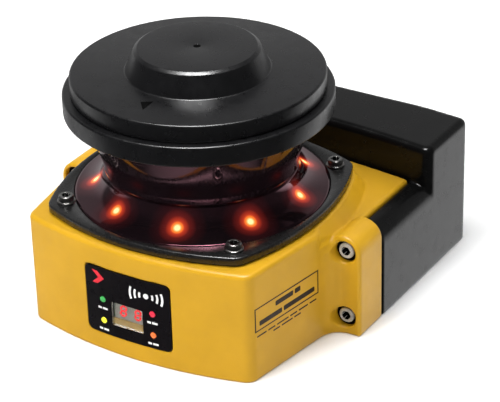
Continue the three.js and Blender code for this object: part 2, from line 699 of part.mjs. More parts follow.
function place(name, body, look) {
  const mesh = new THREE.Mesh(toGeometry(body), finish(...FINISH[look]));
  mesh.name = name;
  module3d.add(mesh);
}

place('sensor_housing', sensorHousing(), 'yellow');
place('base_cover', baseCover(), 'black');
fourPosts(baseScrew).forEach((body, i) => place(`base_screw_${i + 1}`, body, 'steel'));
place('window', scanWindow(), 'window');
place('indicator_skirt', indicatorSkirt(), 'window');
place('window_flange', flange(), 'flange');
place('flange_gasket', flangeGasket(), 'seal');
const flangeScrewTop = FLANGE_TOP_Z + 0.1 + WASHER_THICK + FLANGE_SCREW.headH;
fourPosts(() => socketScrew(FLANGE_SCREW).translate([0, 0, flangeScrewTop]))
  .forEach((body, i) => place(`flange_screw_${i + 1}`, body, 'steel'));

place('head_ring', headRing(), 'black');
place('top_cover', topCover(), 'black');
place('lens_barrel', lensBarrel(), 'black');
place('receiver_lens', receiverLens(), 'glass');
place('laser_module', laserModule(), 'alloy');
place('detector_board', detectorBoard(), 'board');
place('head_post', headPost(), 'alloy');

place('led_ring_board', ledRingBoard(), 'board');
for (let i = 0; i < LED_COUNT; i += 1) {
  place(`sector_led_${i + 1}`, sectorLed((i - (LED_COUNT - 1) / 2) * LED_STEP_DEG), 'led');
}

place('display_panel', displayPanel(), 'panel');
place('display_window', displayWindow(), 'screen');
place('digit_display', digitDisplay(), 'digits');
const statusLooks = { run_led: 'green', stop_led: 'red', interlock_led: 'amber', warning_led: 'orange' };
Object.entries(statusLooks).forEach(([name, look], i) => place(name, statusLed(...statusPlaces[i]), look));
place('display_board', displayBoard(), 'board');

earScrewPlaces.forEach(([x, z], i) => {
  const screw = facingFront(socketScrew(EAR_SCREW), x, EAR_FRONT_Y + EAR_SCREW_SUNK, z);
  place(`coupling_screw_${i + 1}`, screw, 'steel');
});

place('motor_bracket', motorBracket(), 'alloy');
place('motor_housing', motorHousing(), 'alloy');
place('motor_stator', motorStator(), 'copper');
place('lower_bearing', bearing(14.1), 'steel');
place('upper_bearing', bearing(31.5), 'steel');
place('rotor_shaft', rotorShaft(), 'steel');
place('encoder_disk', encoderDisk(), 'alloy');
place('encoder_sensor', encoderSensor(), 'black');
place('mirror_carrier', mirrorCarrier(), 'black');
place('scan_mirror', scanMirror(), 'mirror');

place('main_board', mainBoard(), 'board');
place('link_connector', linkConnector(), 'black');
place('io_board', ioBoard(), 'board');
place('io_gasket', ioGasket(), 'seal');
place('io_housing', ioHousing(), 'black');
const onBayWall = (body, x) => facingBack(body, x, BAY_WALL_Y, CONNECTOR_Z);
place('power_connector', onBayWall(panelConnector(7.6, 6.4), -CONNECTOR_X), 'steel');
place('ethernet_connector', onBayWall(panelConnector(6.0, 5.0), CONNECTOR_X), 'steel');
place('ethernet_cap', onBayWall(connectorCap(), CONNECTOR_X), 'seal');

export default module3d;
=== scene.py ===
"""Looks of the lidar scanner module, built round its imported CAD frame.

Blender works in metres, +Z up, front at -Y. Shapes are worked out in millimetres and scaled once,
in add_mesh().
"""

import json
import math

import bpy
import numpy as np
from mathutils import Matrix, Vector


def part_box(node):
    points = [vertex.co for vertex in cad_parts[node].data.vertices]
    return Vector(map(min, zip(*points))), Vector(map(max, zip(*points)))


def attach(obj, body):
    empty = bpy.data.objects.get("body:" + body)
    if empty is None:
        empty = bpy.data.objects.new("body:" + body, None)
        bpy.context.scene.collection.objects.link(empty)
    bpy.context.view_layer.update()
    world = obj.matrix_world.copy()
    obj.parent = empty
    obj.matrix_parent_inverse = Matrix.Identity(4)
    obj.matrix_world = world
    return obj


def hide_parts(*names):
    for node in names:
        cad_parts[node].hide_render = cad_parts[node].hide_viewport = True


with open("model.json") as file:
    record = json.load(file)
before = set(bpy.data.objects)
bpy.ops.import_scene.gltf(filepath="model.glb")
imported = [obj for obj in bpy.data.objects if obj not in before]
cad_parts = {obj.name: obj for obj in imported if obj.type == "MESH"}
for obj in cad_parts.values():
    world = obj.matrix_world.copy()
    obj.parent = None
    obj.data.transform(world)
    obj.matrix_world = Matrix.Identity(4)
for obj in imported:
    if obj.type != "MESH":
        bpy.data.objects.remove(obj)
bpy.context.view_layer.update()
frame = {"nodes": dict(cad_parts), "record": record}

MM = 0.001


def box_mm(node):
    """Lowest and highest corner of a CAD node in millimetres."""
    low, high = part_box(node)
    return np.array(low) / MM, np.array(high) / MM


# ---------------------------------------------------------------- sizes, from the frame where it has them

housing_low, housing_high = box_mm("sensor_housing")
flange_low, flange_high = box_mm("window_flange")
ring_low, ring_high = box_mm("head_ring")
cover_high = box_mm("top_cover")[1]
skirt_low, skirt_high = box_mm("indicator_skirt")
block_low, block_high = box_mm("io_housing")
panel_low, panel_high = box_mm("display_panel")
screen_low, screen_high = box_mm("display_window")

HALF_WIDTH = housing_high[0]
FRONT_Y = housing_low[1]
PLINTH_Z = housing_high[2]
BACK_Y = block_high[1]
BLOCK_TOP_Z = block_high[2]
FLANGE_HALF = flange_high[0]
FLANGE_BOTTOM_Z, FLANGE_TOP_Z = flange_low[2], flange_high[2]
SKIRT_R = skirt_high[0]
WAIST_Z = skirt_high[2]
RING_R = ring_high[0]
RING_BOTTOM_Z = ring_low[2]
RING_TOP_Z = ring_high[2]
COVER_R = cover_high[0]
HUB_TOP_Z = cover_high[2]

FRONT_R = 165.0          # radius of the bowed front wall
FRONT_CORNER_X = 48.0
WAIST_X = 55.3
EAR_FRONT_Y = 1.0
EAR_BACK_Y = 18.5
EAR_R = 7.0
EAR_AXIS_Z = 33.8
TAIL_X = 57.2
SHELF_Z = 38.8
WALL = 3.0
POST = 36.4
FLANGE_SIDE_R = 100.0
FLANGE_CORNER_R = 6.6
COVER_TOP_Z = 95.6
HUB_BASE_R = 26.7
HUB_TOP_R = 22.8
WEB_Z = 83.3
LED_RING_R = 39.7
LED_STEP = math.radians(39)
LED_COUNT = 8
BLOCK_FRONT_Y = 55.3
BLOCK_CROWN = 5.8
BLOCK_CORNER_Y = 88.0
BLOCK_FLAT = 47.0
ARM_TOP_Z = 37.4
BAY_HALF = 36.0
BAY_Z = (5.0, 31.0)
BAY_WALL_Y = 76.0
CONNECTOR_X = 17.0
CONNECTOR_Z = 18.0
M5_X = 52.0
M5_Z = (10.0, 43.0)
M5_HOLE_R = 2.1
M5_DEPTH = 8
EAR_SCREWS = [(side * 60.2, z) for side in (-1, 1) for z in (34.6, 7.2)]
EAR_RECESS_R = 4.4
STATUS_X = 10.8
STATUS_Z = (22.0, 13.1)
FIELD_STEP = 0.75

CAMERA_AZIMUTH = math.radians(32.25)
CAMERA_ELEVATION = math.radians(28.678)
CAMERA_ROLL = math.radians(-1.638)
CAMERA_LENS = 159.3
CAMERA_AIM = (0.0171, 0.0058, 0.0423)      # metres
CAMERA_DISTANCE = 0.8261                   # metres


# ---------------------------------------------------------------- outlines

def rounded(corners, closed=True, step=10):
    """Points of an outline through (x, y, radius) corners, each rounded to its radius."""
    points = []
    count = len(corners)
    for i, (x, y, radius) in enumerate(corners):
        corner = np.array((x, y), float)
        end = not closed and i in (0, count - 1)
        if radius == 0 or end:
            points.append(corner)
            continue
        back = np.array(corners[i - 1][:2]) - corner
        ahead = np.array(corners[(i + 1) % count][:2]) - corner
        back /= np.linalg.norm(back)
        ahead /= np.linalg.norm(ahead)
        half = math.acos(np.clip(back @ ahead, -1, 1)) / 2
        inward = (back + ahead) / np.linalg.norm(back + ahead)
        centre = corner + inward * radius / math.sin(half)
        start = corner + back * radius / math.tan(half) - centre
        side = np.sign(back[0] * ahead[1] - back[1] * ahead[0])
        turn = -side * (math.pi - 2 * half)
        steps = max(1, math.ceil(abs(math.degrees(turn)) / step))
        for k in range(steps + 1):
            a = turn * k / steps
            c, s = math.cos(a), math.sin(a)
            points.append(centre + (c * start[0] - s * start[1], s * start[0] + c * start[1]))
    return np.array(points)


def symmetric(right, step=10):
    """A closed outline from its right-hand half, listed from the front middle round to the back middle."""
    left = [(-x, y, r) for x, y, r in reversed(right) if x != 0]
    return rounded(right + left, step=step)


def front_y(x, inset=0.0):
    radius = FRONT_R - inset
    return FRONT_Y + FRONT_R - np.sqrt(radius * radius - x * x)


def front_arc(inset=0.0, end=40, step=5):
    return [(x, front_y(x, inset), 0) for x in range(0, end + 1, step)]


def block_front(x):
    return BLOCK_FRONT_Y + BLOCK_CROWN * (1 - (x / HALF_WIDTH) ** 2)


def crowned(end, offset=0.0, steps=8):
    return [(end * i / steps, block_front(end * i / steps) + offset, 0) for i in range(steps + 1)]


def bulged_square(offset=0.0, side_steps=16, corner_steps=8):
    """A square whose four sides are arcs bulging outwards, joined by corner arcs."""
    side = FLANGE_SIDE_R + offset
    corner = FLANGE_CORNER_R + offset
    back = FLANGE_HALF + offset - side
    k = (back + math.sqrt(2 * (side - corner) ** 2 - back * back)) / 2
    meet = math.atan2(k, k - back)
    sides = np.linspace(-meet, meet, side_steps)
    corners = np.linspace(meet, math.pi / 2 - meet, corner_steps)[1:-1]
    quarter = [(back + side * math.cos(a), side * math.sin(a)) for a in sides]
    quarter += [(k + corner * math.cos(a), k + corner * math.sin(a)) for a in corners]
    points = []
    for turn in range(4):
        c, s = math.cos(turn * math.pi / 2), math.sin(turn * math.pi / 2)
        points += [(c * x - s * y, s * x + c * y) for x, y in quarter]
    return np.array(points)


# ---------------------------------------------------------------- meshes

def add_mesh(name, points, faces, slot, material, body="housing", smooth=True, dark=()):
    """A mesh object from millimetre points, riding on a body. Faces listed in dark are painted near black as
    shade.
    """
    mesh = bpy.data.meshes.new(name)
    mesh.from_pydata((np.asarray(points, float) * MM).tolist(), [], faces)
    mesh.update()
    mesh.polygons.foreach_set("use_smooth", [smooth] * len(mesh.polygons))
    mesh.materials.append(material)
    # faces listed in dark get painted shade: the near-black matte material
    if dark:
        mesh.materials.append(PAINTED_SHADE_BLACK)
    for index in dark:
        mesh.polygons[index].material_index = 1
    piece = bpy.data.objects.new(name, mesh)
    bpy.context.collection.objects.link(piece)
    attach(piece, body)
    return piece


def loft(rings, closed=False):
    """Points and quads over rings of equal length; open lofts get a flat face at each end."""
    count = len(rings[0])
    points = np.concatenate(rings)
    pairs = [(i, i + 1) for i in range(len(rings) - 1)]
    if closed:
        pairs.append((len(rings) - 1, 0))
    faces = []
    for a, b in pairs:
        for k in range(count):
            n = (k + 1) % count
            faces.append((a * count + k, a * count + n, b * count + n, b * count + k))
    if not closed:
        faces.append(tuple(reversed(range(count))))
        faces.append(tuple(range((len(rings) - 1) * count, len(rings) * count)))
    return points, faces


def at_height(outline, z):
    return np.column_stack([outline, np.full(len(outline), z)])


def circle(radius, z, segments):
    """A ring of points. The radius may be a function of the angle."""
    a = np.arange(segments) * 2 * math.pi / segments
    r = radius(a) if callable(radius) else np.full(segments, float(radius))
    return np.column_stack([r * np.cos(a), r * np.sin(a), np.full(segments, z)])


def turned(profile, segments=96, closed=False):
    """A profile of (radius, z) turned about the vertical axis, its outer wall running upwards."""
    return loft([circle(r, z, segments) for r, z in profile], closed)


def hexagon(across_flats):
    return lambda a: across_flats / 2 / np.cos((a % (math.pi / 3)) - math.pi / 6)


def knurled(radius, depth, count):
    return lambda a: radius - depth * (0.5 + 0.5 * np.cos(a * count)) ** 2


def laid_back(points, x, y, z, sign=1):
    """Turns points built upwards so that +Z points to -Y (or to +Y with sign -1), then moves them."""
    px, py, pz = np.asarray(points).T
    return np.column_stack([px + x, -sign * pz + y, sign * py + z])


def joined(parts):
    """Several point-and-face sets as one."""
    points, faces, offset = [], [], 0
    for part_points, part_faces in parts:
        points.append(np.asarray(part_points))
        faces += [tuple(i + offset for i in face) for face in part_faces]
        offset += len(part_points)
    return np.concatenate(points), faces


def prism(outline, z0, z1, soft=0.0):
    """An outline raised from z0 to z1, with its top edge softened towards its middle."""
    outline = np.asarray(outline)
    rings = [at_height(outline, z0)]
    if soft:
        middle = outline.mean(axis=0)
        reach = np.abs(outline - middle).max(axis=0)
        for k in range(4):
            a = k / 3 * math.pi / 2
            shrink = 1 - soft * (1 - math.cos(a)) / reach
            rings.append(at_height(middle + (outline - middle) * shrink, z1 - soft * (1 - math.sin(a))))
    else:
        rings.append(at_height(outline, z1))
    return loft(rings)


# ---------------------------------------------------------------- fields: signed distance in mm, minus inside

def polygon(points):
    """Signed distance to a closed outline in the plane."""
    points = [tuple(p) for p in points]

    def distance(x, y):
        best, sign = np.inf, 1.0
        for (ax, ay), (bx, by) in zip(points, points[1:] + points[:1]):
            ex, ey = bx - ax, by - ay
            wx, wy = x - ax, y - ay
            h = np.clip((wx * ex + wy * ey) / (ex * ex + ey * ey), 0, 1)
            best = np.minimum(best, (wx - ex * h) ** 2 + (wy - ey * h) ** 2)
            above, below, left = y >= ay, y < by, ex * wy > ey * wx
            flip = (above & below & left) | (~above & ~below & ~left)
            sign = np.where(flip, -sign, sign)
        return sign * np.sqrt(best)

    return distance


def swept(flat, along, soft=0.0):
    """A flat distance drawn out by a distance along the third axis, with its outer edges rounded."""
    flat, along = flat + soft, along + soft
    outside = np.hypot(np.maximum(flat, 0), np.maximum(along, 0))
    return np.minimum(np.maximum(flat, along), 0) + outside - soft


def between(value, low, high):
    return np.maximum(low - value, value - high)


def merge(a, b, k):
    """Union of two fields with a fillet of about k, which may vary in space."""
    k = np.maximum(k, 1e-3)
    h = np.maximum(k - np.abs(a - b), 0) / k
    return np.minimum(a, b) - h * h * k / 4


def carve(a, b, k=0.5):
    """Field a less field b, with the new edge rounded."""
    return -merge(-a, b, k)


def bar(x, z, r, y, y0, y1):
    """A round bar along Y."""
    return lambda px, py, pz: swept(np.hypot(px - x, pz - z) - r, between(py, y0, y1))


def cuboid(x, y, z, low, high, soft=0.0):
    across = swept(between(x, low[0], high[0]), between(y, low[1], high[1]), soft)
    return swept(across, between(z, low[2], high[2]), soft)


def skin(field, low, high, step):
    """Quads over the zero surface of a field, with one vertex in each grid cell that it crosses."""
    axes = [np.arange(a - 1.5 * step, b + 2 * step, step) for a, b in zip(low, high)]
    x, y, z = np.meshgrid(*axes, indexing="ij", sparse=True)
    value = np.broadcast_to(field(x, y, z), [len(a) for a in axes]).astype(np.float32)
    inside = value < 0
    cells = tuple(n - 1 for n in value.shape)
    total = np.zeros(cells + (3,), np.float32)
    hits = np.zeros(cells, np.int16)
    crossings = []
    for axis in range(3):
        near = np.moveaxis(value, axis, 0)[:-1]
        far = np.moveaxis(value, axis, 0)[1:]
        crossed = (near < 0) != (far < 0)
        part = np.where(crossed, near / np.where(crossed, near - far, 1), 0)
        crossings.append(np.moveaxis(crossed, 0, axis))
        others = [a for a in range(3) if a != axis]
        rel = np.moveaxis(total, axis, 0)
        seen = np.moveaxis(hits, axis, 0)
        for u in (0, 1):
            for v in (0, 1):
                cut = (slice(None), slice(u, u + cells[others[0]]), slice(v, v + cells[others[1]]))
                here = crossed[cut]
                rel[..., axis] += part[cut]
                rel[..., others[0]] += here * u
                rel[..., others[1]] += here * v
                seen += here
    used = hits > 0
    ids = np.full(cells, -1)
    ids[used] = np.arange(used.sum())
    origin = np.array([a[0] for a in axes])
    points = (np.argwhere(used) + total[used] / hits[used][:, None]) * step + origin
    faces = []
    for axis in range(3):
        u, v = (axis + 1) % 3, (axis + 2) % 3
        at = np.argwhere(crossings[axis])
        at = at[(at[:, u] > 0) & (at[:, v] > 0) & (at[:, u] < cells[u]) & (at[:, v] < cells[v])]
        down_u, down_v = np.zeros(3, int), np.zeros(3, int)
        down_u[u], down_v[v] = 1, 1
        around = [at - down_u - down_v, at - down_v, at, at - down_u]
        quads = np.column_stack([ids[tuple(c.T)] for c in around])
        outward = inside[tuple(at.T)]
        quads[~outward] = quads[~outward][:, ::-1]
        faces.append(quads)
    return settle(points, field, step), np.concatenate(faces).tolist()


def settle(points, field, step, rounds=2, probe=0.05):
    """Moves points onto the zero surface along the field's gradient."""
    for _ in range(rounds):
        value = field(*points.T)
        slope = np.zeros_like(points)
        for axis in range(3):
            shift = np.zeros(3)
            shift[axis] = probe
            slope[:, axis] = (field(*(points + shift).T) - field(*(points - shift).T)) / (2 * probe)
        length = np.maximum((slope ** 2).sum(axis=1), 0.05)
        points = points - slope * np.clip(value / length, -step / 2, step / 2)[:, None]
    return points


# ---------------------------------------------------------------- materials

class Look:
    """A Principled material with short calls for its procedural nodes. Lengths are in millimetres."""

    def __init__(self, name, color, roughness, metallic=0.0, **sockets):
        self.material = bpy.data.materials.new(name)
        self.material.use_nodes = True
        self.nodes = self.material.node_tree.nodes
        self.links = self.material.node_tree.links
        self.shader = self.nodes["Principled BSDF"]
        self.set("Base Color", (*color, 1))
        self.set("Roughness", roughness)
        self.set("Metallic", metallic)
        for socket, value in sockets.items():
            self.set(socket.replace("_", " "), value)
        self.place = self.nodes.new("ShaderNodeTexCoord").outputs["Object"]

    def set(self, socket, value):
        self.shader.inputs[socket].default_value = value

    def wire(self, source, target):
        self.links.new(source, target)

    def noise(self, size, detail=3.0, stretch=None):
        node = self.nodes.new("ShaderNodeTexNoise")
        node.inputs["Scale"].default_value = 1 / (size * MM)
        node.inputs["Detail"].default_value = detail
        place = self.place
        if stretch:
            mapping = self.nodes.new("ShaderNodeMapping")
            mapping.inputs["Scale"].default_value = stretch
            self.wire(place, mapping.inputs["Vector"])
            place = mapping.outputs["Vector"]
        self.wire(place, node.inputs["Vector"])
        return node.outputs["Fac"]

    def math(self, operation, *values, clamp=False):
        node = self.nodes.new("ShaderNodeMath")
        node.operation = operation
        node.use_clamp = clamp
        for socket, value in zip(node.inputs, values):
            if isinstance(value, (int, float)):
                socket.default_value = value
            else:
                self.wire(value, socket)
        return node.outputs["Value"]

    def ramp(self, fac, stops):
        node = self.nodes.new("ShaderNodeValToRGB")
        elements = node.color_ramp.elements
        while len(elements) < len(stops):
            elements.new(0.5)
        for element, (position, color) in zip(elements, stops):
            element.position = position
            element.color = (*color, 1)
        self.wire(fac, node.inputs["Fac"])
        return node.outputs["Color"]

    def vary(self, socket, fac, low, high):
        """Drives a number of the shader between low and high."""
        node = self.nodes.new("ShaderNodeMapRange")
        node.inputs["From Min"].default_value = 0.3
        node.inputs["From Max"].default_value = 0.7
        node.inputs["To Min"].default_value = low
        node.inputs["To Max"].default_value = high
        self.wire(fac, node.inputs["Value"])
        self.wire(node.outputs["Result"], self.shader.inputs[socket])

    def tint(self, fac, dark, light):
        """Mottles the base colour between two tones."""
        self.wire(self.ramp(fac, [(0.3, dark), (0.7, light)]), self.shader.inputs["Base Color"])

    def bump(self, height, depth, strength=1.0):
        node = self.nodes.new("ShaderNodeBump")
        node.inputs["Distance"].default_value = depth * MM
        node.inputs["Strength"].default_value = strength
        self.wire(height, node.inputs["Height"])
        self.wire(node.outputs["Normal"], self.shader.inputs["Normal"])

    def near(self, centres, reach):
        """Sum of soft spots round some points, 1 at a point and 0 at the reach."""
        total = None
        for centre in centres:
            offset = self.nodes.new("ShaderNodeVectorMath")
            offset.operation = "DISTANCE"
            self.wire(self.place, offset.inputs[0])
            offset.inputs[1].default_value = [c * MM for c in centre]
            spot = self.nodes.new("ShaderNodeMapRange")
            spot.inputs["From Min"].default_value = 0
            spot.inputs["From Max"].default_value = reach * MM
            spot.inputs["To Min"].default_value = 1
            spot.inputs["To Max"].default_value = 0
            self.wire(offset.outputs["Value"], spot.inputs["Value"])
            value = spot.outputs["Result"]
            total = value if total is None else self.math("ADD", total, value)
        return total


def tone(color, factor):
    return tuple(c * factor for c in color)


def painted(name, color, roughness, peel=0.9, gloss=0.5):
    """Sprayed paint: faint mottling and orange peel."""
    look = Look(name, color, roughness, Specular_IOR_Level=gloss)
    look.tint(look.noise(14, 4), tone(color, 0.94), tone(color, 1.05))
    look.vary("Roughness", look.noise(5, 3), roughness - 0.04, roughness + 0.05)
    look.bump(look.noise(peel, 2), 0.02, 0.35)
    return look.material


def moulded(name, color, roughness, grain=0.35, depth=0.02, gloss=0.4):
    """Moulded plastic with a fine grain and slight handling marks."""
    look = Look(name, color, roughness, Specular_IOR_Level=gloss)
    look.tint(look.noise(9, 5), tone(color, 0.85), tone(color, 1.2))
    look.vary("Roughness", look.noise(3.5, 4), roughness - 0.05, roughness + 0.06)
    look.bump(look.noise(grain, 2), depth, 0.5)
    return look.material


def metal(name, color, roughness, brushed=(1, 1, 12), metallic=1.0):
    """Worked metal with fine turning marks. A lower metallic value reads as a dull oxide."""
    look = Look(name, color, roughness, metallic)
    look.tint(look.noise(2.5, 3), tone(color, 0.85), tone(color, 1.1))
    look.vary("Roughness", look.noise(0.8, 4, brushed), roughness - 0.08, roughness + 0.1)
    look.bump(look.noise(0.3, 2, brushed), 0.01, 0.3)
    return look.material


LED_PLACES = [
    (LED_RING_R * math.sin((i - 3.5) * LED_STEP), -LED_RING_R * math.cos((i - 3.5) * LED_STEP), 51.1)
    for i in range(LED_COUNT)
]


def window_material(name, lit):
    """Polished infrared-pass plastic, very dark red. The skirt glows where a sector light shines through."""
    look = Look(name, (0.006, 0.004, 0.005), 0.07, Specular_IOR_Level=1.0, Specular_Tint=(1.0, 0.38, 0.50, 1))
    look.tint(look.noise(20, 2), (0.005, 0.003, 0.004), (0.008, 0.005, 0.006))
    look.vary("Roughness", look.noise(12, 3), 0.05, 0.10)
    look.bump(look.noise(25, 1), 0.05, 0.1)
    if lit:
        glow = look.near(LED_PLACES, 11.0)
        color = look.ramp(glow, [
            (0.0, (0, 0, 0)), (0.36, (0.012, 0.001, 0.001)), (0.60, (0.09, 0.006, 0.004)),
            (0.76, (0.40, 0.03, 0.01)), (0.855, (1.0, 0.22, 0.03)), (0.93, (1.0, 0.82, 0.35)),
        ])
        look.wire(color, look.shader.inputs["Emission Color"])
        look.set("Emission Strength", 1.35)
    return look.material


def glowing(name, color, strength):
    look = Look(name, color, 0.25)
    look.tint(look.noise(0.8, 2), tone(color, 0.8), tone(color, 1.1))
    look.set("Emission Color", (*color, 1))
    look.set("Emission Strength", strength)
    return look.material


def clear(name, color, roughness=0.04):
    look = Look(name, color, roughness, Transmission_Weight=1.0, IOR=1.46)
    look.vary("Roughness", look.noise(3, 3), roughness, roughness + 0.03)
    return look.material


def circuit_board(name):
    look = Look(name, (0.03, 0.16, 0.07), 0.5)
    look.tint(look.noise(1.6, 1), (0.02, 0.11, 0.05), (0.05, 0.22, 0.09))
    look.bump(look.noise(1.2, 1), 0.05, 0.4)
    return look.material


YELLOW = (0.53, 0.288, 0.010)

MATERIALS = {
    "yellow": painted("yellow_paint", YELLOW, 0.40, gloss=0.25),
    "black_plastic": moulded("black_plastic", (0.0045, 0.0045, 0.005), 0.3, gloss=0.35),
    "io_black": painted("black_paint", (0.0035, 0.0035, 0.0035), 0.24, 0.6, 0.16),
    "flange_grey": moulded("flange_grey", (0.009, 0.009, 0.009), 0.27, 0.5, gloss=0.5),
    "window": window_material("window_plastic", False),
    "seal": moulded("seal_rubber", (0.012, 0.012, 0.012), 0.8, 0.6),
    "steel": metal("screw_steel", (0.24, 0.235, 0.225), 0.3),
    "alloy": metal("alloy", (0.6, 0.61, 0.62), 0.35),
    "board": circuit_board("circuit_board"),
    "led_red": glowing("sector_light", (1.0, 0.25, 0.08), 2.0),
    "panel": moulded("panel_film", (0.005, 0.004, 0.005), 0.3, 0.5, 0.005, 0.2),
    "screen": clear("screen_pane", (0.90, 0.89, 0.86)),
    "digits": moulded("digit_block", (0.36, 0.36, 0.33), 0.5),
    "status_green": glowing("status_green", (0.05, 0.33, 0.08), 0.35),
    "status_amber": glowing("status_yellow", (0.80, 0.78, 0.04), 0.5),
    "status_red": glowing("status_red", (0.65, 0.03, 0.06), 0.35),
    "status_orange": glowing("status_orange", (0.75, 0.16, 0.04), 0.35),
    "lens_glass": clear("lens_glass", (0.85, 0.92, 0.93), 0.01),
    "mirror": metal("mirror_coating", (0.92, 0.92, 0.93), 0.1, (1, 1, 1)),
    "copper": metal("copper_winding", (0.6, 0.28, 0.14), 0.4, (1, 1, 20)),
}
GLOW = window_material("skirt_plastic", True)
WHITE_INK = moulded("white_ink", (0.75, 0.75, 0.74), 0.5, 0.4, 0.004)
RED_INK = moulded("red_ink", (0.62, 0.015, 0.03), 0.45, 0.4, 0.004)
BROWN_INK = moulded("dark_ink", (0.028, 0.014, 0.004), 0.5, 0.4, 0.004)
RIM_STEEL = metal("rim_steel", (0.60, 0.60, 0.57), 0.3, metallic=0.35)
LIT_DIGIT = glowing("lit_digit", (0.80, 0.006, 0.015), 0.75)
# Painted reflection: golden colour for the band seen low in the display pane.
PAINTED_REFLECTION_STRIP = moulded("amber_reflection_strip", (0.50, 0.33, 0.08), 0.35)
# Painted shade: near black, matte and almost without reflection, for sockets, holes and gaps that fall into
# shade.
PAINTED_SHADE_BLACK = moulded("painted_shade_black", (0.002, 0.002, 0.002), 0.8, gloss=0.02)


def dress_cad_nodes():
    """Gives every CAD node the procedural material of its slot."""
    for entry in frame["record"]["subparts"]:
        node = frame["nodes"][entry["node"]]
        node.data.materials.clear()
        node.data.materials.append(MATERIALS[entry["material_slot"]])


# ---------------------------------------------------------------- sensor housing

FLANK_RUN = 0.75         # sideways run of the plinth's sloping flank for each millimetre that it drops


def side_wall_x(y):
    """The side wall runs straight from the front corner to the ear."""
    corner_y = front_y(FRONT_CORNER_X)
    return FRONT_CORNER_X + (WAIST_X - FRONT_CORNER_X) * (y - corner_y) / (EAR_FRONT_Y - corner_y)


SHOULDER_END_Y = -6.5
lower_flat = polygon(symmetric([
    *front_arc(), (FRONT_CORNER_X, front_y(FRONT_CORNER_X), 5), (WAIST_X, EAR_FRONT_Y, 0),
    (TAIL_X, EAR_FRONT_Y + 8, 0), *crowned(TAIL_X, -1.4)[::-1],
]))
shoulder_flat = polygon(symmetric([
    *front_arc(), (FRONT_CORNER_X, front_y(FRONT_CORNER_X), 5),
    (side_wall_x(SHOULDER_END_Y), SHOULDER_END_Y, 6), (49, 3, 0),
]))
plinth_flat = polygon(bulged_square(0.7))
cavity_flat = polygon(symmetric([
    *front_arc(WALL), (FRONT_CORNER_X - WALL, front_y(FRONT_CORNER_X - WALL, WALL), 3),
    (WAIST_X - WALL - 1, EAR_FRONT_Y, 0), (TAIL_X - WALL, EAR_BACK_Y, 0),
    (TAIL_X - WALL, BLOCK_FRONT_Y - 6, 3),
]))
pocket_flat = polygon(rounded([
    (panel_low[0] - 0.2, panel_low[2] - 0.2, 2.2), (panel_high[0] + 0.2, panel_low[2] - 0.2, 2.2),
    (panel_high[0] + 0.2, panel_high[2] + 0.2, 2.2), (panel_low[0] - 0.2, panel_high[2] + 0.2, 2.2),
]))


def ear_field(x, y, z):
    """The half-round-topped boss at each side."""
    across = np.abs(x) - (HALF_WIDTH - EAR_R)
    arch = np.hypot(across, np.maximum(z - EAR_AXIS_Z, 0)) - EAR_R
    return swept(arch, between(y, EAR_FRONT_Y, EAR_BACK_Y), 1.1)


def housing_cavity(x, y, z):
    room = swept(cavity_flat(x, y), between(z, -9, SHELF_Z - WALL))
    room = np.minimum(room, swept(np.hypot(x, y) - 44.5, between(z, 30, PLINTH_Z - WALL)))
    posts = np.hypot(np.abs(x) - POST, np.abs(y) - POST) - 5
    room = np.maximum(room, -posts)
    room = np.minimum(room, swept(np.hypot(x, y) - 33, between(z, 35, 60)))
    room = np.minimum(room, cuboid(x, y, z, (-15.5, FRONT_Y - 9, 9.5), (15.5, FRONT_Y + 6, 33)))
    pocket = swept(pocket_flat(x, z), y - (front_y(np.clip(x, -40, 40)) + 1.6))
    return np.minimum(room, pocket)


def housing_field(x, y, z):
    lower = swept(lower_flat(x, y), between(z, -9, SHELF_Z), 1.4)
    shoulder = swept(shoulder_flat(x, y), between(z, -9, PLINTH_Z), 1.7)
    drop = PLINTH_Z - z
    flank = (plinth_flat(x, y) - FLANK_RUN * drop) / math.hypot(1, FLANK_RUN)
    plinth = swept(flank, -drop, 0.6)
    plinth = np.maximum(np.maximum(plinth, SHELF_Z - 2 - z), lower_flat(x, y) + 1)
    body = np.minimum(merge(lower, plinth, 0.7), shoulder)
    body = merge(body, ear_field(x, y, z), 8 * np.clip((13 - y) / 8, 0, 1) * np.clip((40 - z) / 5, 0.2, 1))
    body = -merge(-body, z + 0 * x, 0.8)
    body = carve(body, housing_cavity(x, y, z), 0.3)
    for sx, sz in EAR_SCREWS:
        body = carve(body, bar(sx, sz, EAR_RECESS_R, y, EAR_FRONT_Y - 4, EAR_FRONT_Y + 5.6)(x, y, z), 0.5)
    return body


def build_housing():
    points, faces = skin(housing_field, housing_low, housing_high, FIELD_STEP)
    points[:, 2] = np.maximum(points[:, 2], 0)
    piece = add_mesh("housing_shell", points, faces, "yellow", MATERIALS["yellow"])
    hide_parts("sensor_housing")


# ---------------------------------------------------------------- I/O block

block_flat = polygon(symmetric([
    *crowned(HALF_WIDTH - 6.5), (HALF_WIDTH, block_front(HALF_WIDTH), 3.5),
    (HALF_WIDTH, BLOCK_CORNER_Y, 3.5), (BLOCK_FLAT, BACK_Y, 60),
]))
arm_flat = polygon(rounded([
    (TAIL_X + 0.3, -9, 0), (HALF_WIDTH, -9, 0), (HALF_WIDTH, ARM_TOP_Z, 6.5), (TAIL_X + 0.3, ARM_TOP_Z, 0.8),
]))


